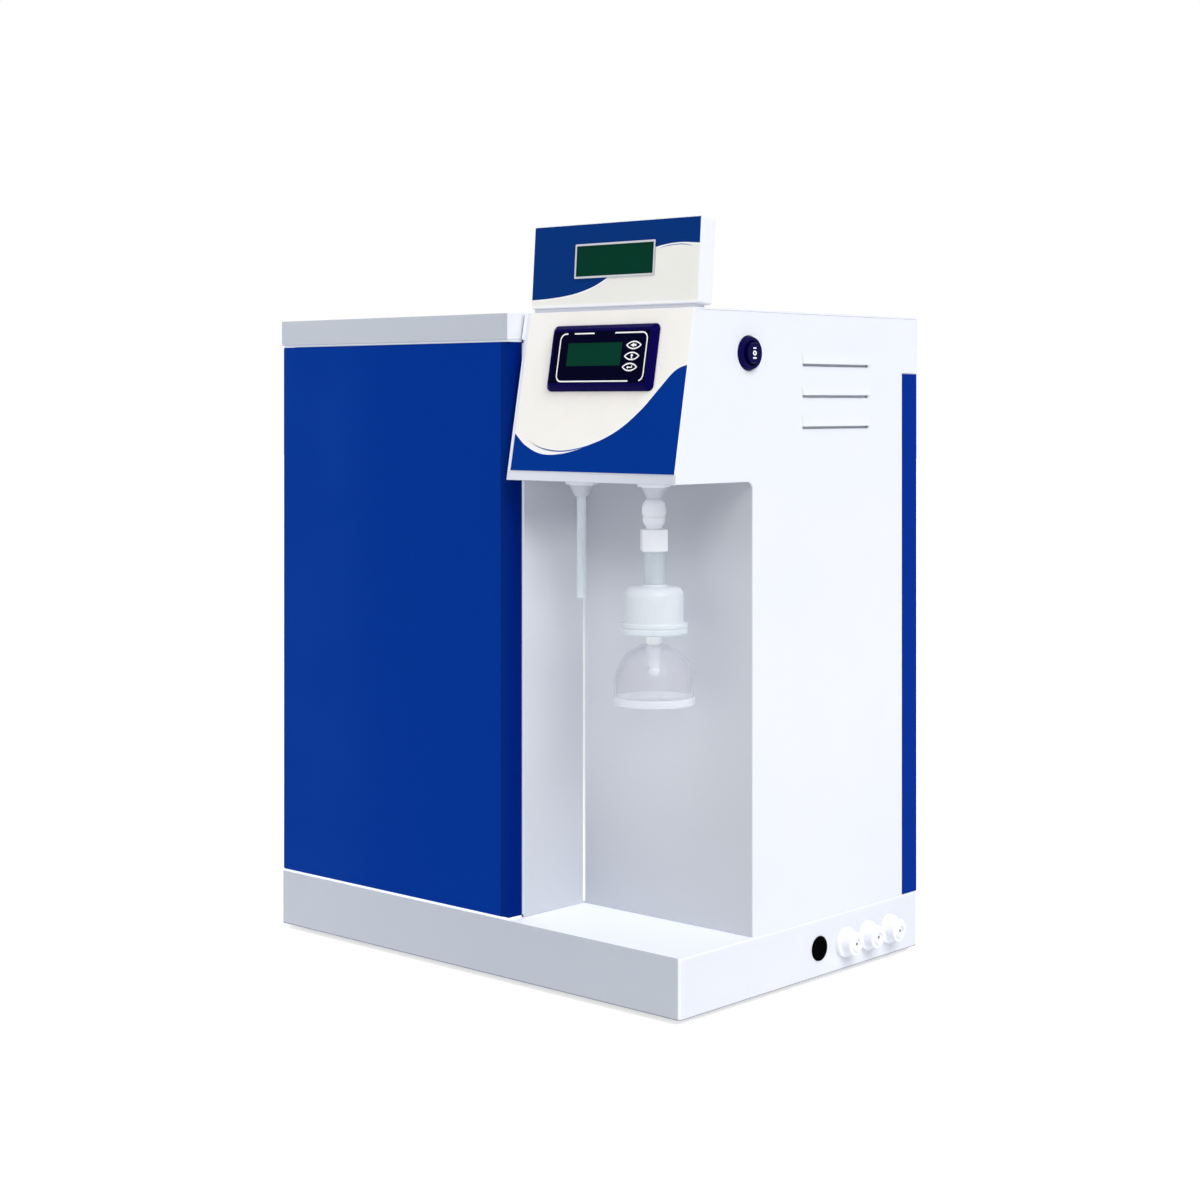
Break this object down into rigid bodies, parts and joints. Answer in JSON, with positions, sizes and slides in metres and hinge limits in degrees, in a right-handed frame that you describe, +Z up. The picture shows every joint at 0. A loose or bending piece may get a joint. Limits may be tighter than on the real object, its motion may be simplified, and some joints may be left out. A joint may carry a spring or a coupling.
{
  "type": "ultrapure water system",
  "caption": "Bench-top water purifier: white cabinet with a pivoting blue door, dispensing alcove, leaning control head with panel meter, display on top, and a filter with filling bell.",
  "frame": {"origin": "bottom centre of the part's box, on the plane of the feet", "axes": "+X to the right, +Y to the rear, +Z up; the front with the door and the alcove faces -Y"},
  "size_m": [0.412, 0.2776, 0.5246],
  "materials": {
    "white_steel": "bluish white powder coat, fine texture",
    "blue_steel": "deep blue semi-gloss powder coat",
    "foot_rubber": "matt black rubber",
    "steel": "zinc plated steel",
    "bush_nylon": "natural nylon",
    "black_plastic": "black moulded plastic",
    "cream_film": "printed polyester film, cream and blue",
    "navy_plastic": "navy moulded plastic",
    "green_lens": "dark green window over a character display",
    "board": "green circuit board",
    "key_plastic": "navy key with a white outline",
    "white_plastic": "white moulded plastic",
    "frame_silver": "silver frame",
    "fitting_plastic": "white acetal",
    "clear_tube": "clear flexible tube",
    "frosted_plastic": "translucent polypropylene",
    "membrane_white": "white pleated membrane",
    "pump_metal": "dark painted pump motor"
  },
  "bodies": {
    "cabinet": {"base_tray": "white_steel", "rubber_feet": "foot_rubber", "foot_screws": "steel", "foot_nuts": "steel", "left_side_panel": "white_steel", "right_side_panel": "white_steel", "top_cover": "white_steel", "rear_panel": "white_steel", "rear_cover": "blue_steel", "rear_screws": "steel", "alcove_liner": "white_steel", "mounting_panel": "white_steel", "upper_hinge_bracket": "steel", "pivot_bushes": "bush_nylon", "magnet_catch": "black_plastic", "head_shell": "white_steel", "fascia_overlay": "cream_film", "meter_bezel": "navy_plastic", "meter_film": "navy_plastic", "meter_window": "green_lens", "meter_case": "black_plastic", "meter_board": "board", "meter_clamps": "black_plastic", "display_case": "white_plastic", "display_plate": "white_plastic", "display_overlay": "cream_film", "display_frame": "frame_silver", "display_window": "green_lens", "display_gasket": "foot_rubber", "switch_body": "navy_plastic", "cable_grommet": "foot_rubber", "port_fittings": "fitting_plastic", "port_nuts": "fitting_plastic", "outlet_fittings": "fitting_plastic", "outlet_nuts": "fitting_plastic", "sample_tube": "clear_tube", "solenoid_valves": "black_plastic", "quick_connector": "fitting_plastic", "connector_nut": "fitting_plastic", "filter_tube": "clear_tube", "filter_capsule": "frosted_plastic", "filter_membrane": "membrane_white", "filter_base": "frosted_plastic", "filling_bell": "frosted_plastic", "cartridges": "white_plastic", "manifold": "white_plastic", "membrane_housing": "white_plastic", "housing_clips": "white_plastic", "polishing_columns": "white_plastic", "booster_pump": "pump_metal", "power_supply": "steel", "control_board": "board"},
    "door": {"door_skin": "blue_steel", "door_liner": "white_steel", "door_pivots": "steel", "strike_plate": "steel"},
    "upper_key": {"key_up": "key_plastic"},
    "middle_key": {"key_set": "key_plastic"},
    "lower_key": {"key_down": "key_plastic"},
    "rocker": {"switch_rocker": "navy_plastic"}
  },
  "joints": [
    {"name": "door_hinge", "type": "hinge", "parent": "cabinet", "child": "door", "pos_m": [-0.1994, -0.1226, 0.245], "axis": [0, 0, -1], "range_deg": [0, 90]},
    {"name": "upper_key_press", "type": "slide", "parent": "cabinet", "child": "upper_key", "axis": [0, 0.9833, -0.1822], "range_m": [0, 0.0005], "stiffness_N_per_m": 1500},
    {"name": "middle_key_press", "type": "slide", "parent": "cabinet", "child": "middle_key", "axis": [0, 0.9833, -0.1822], "range_m": [0, 0.0005], "stiffness_N_per_m": 1500},
    {"name": "lower_key_press", "type": "slide", "parent": "cabinet", "child": "lower_key", "axis": [0, 0.9833, -0.1822], "range_m": [0, 0.0005], "stiffness_N_per_m": 1500},
    {"name": "rocker_tilt", "type": "hinge", "parent": "cabinet", "child": "rocker", "pos_m": [0.194, -0.0618, 0.4355], "axis": [0, 1, 0], "range_deg": [-10, 10]}
  ]
}
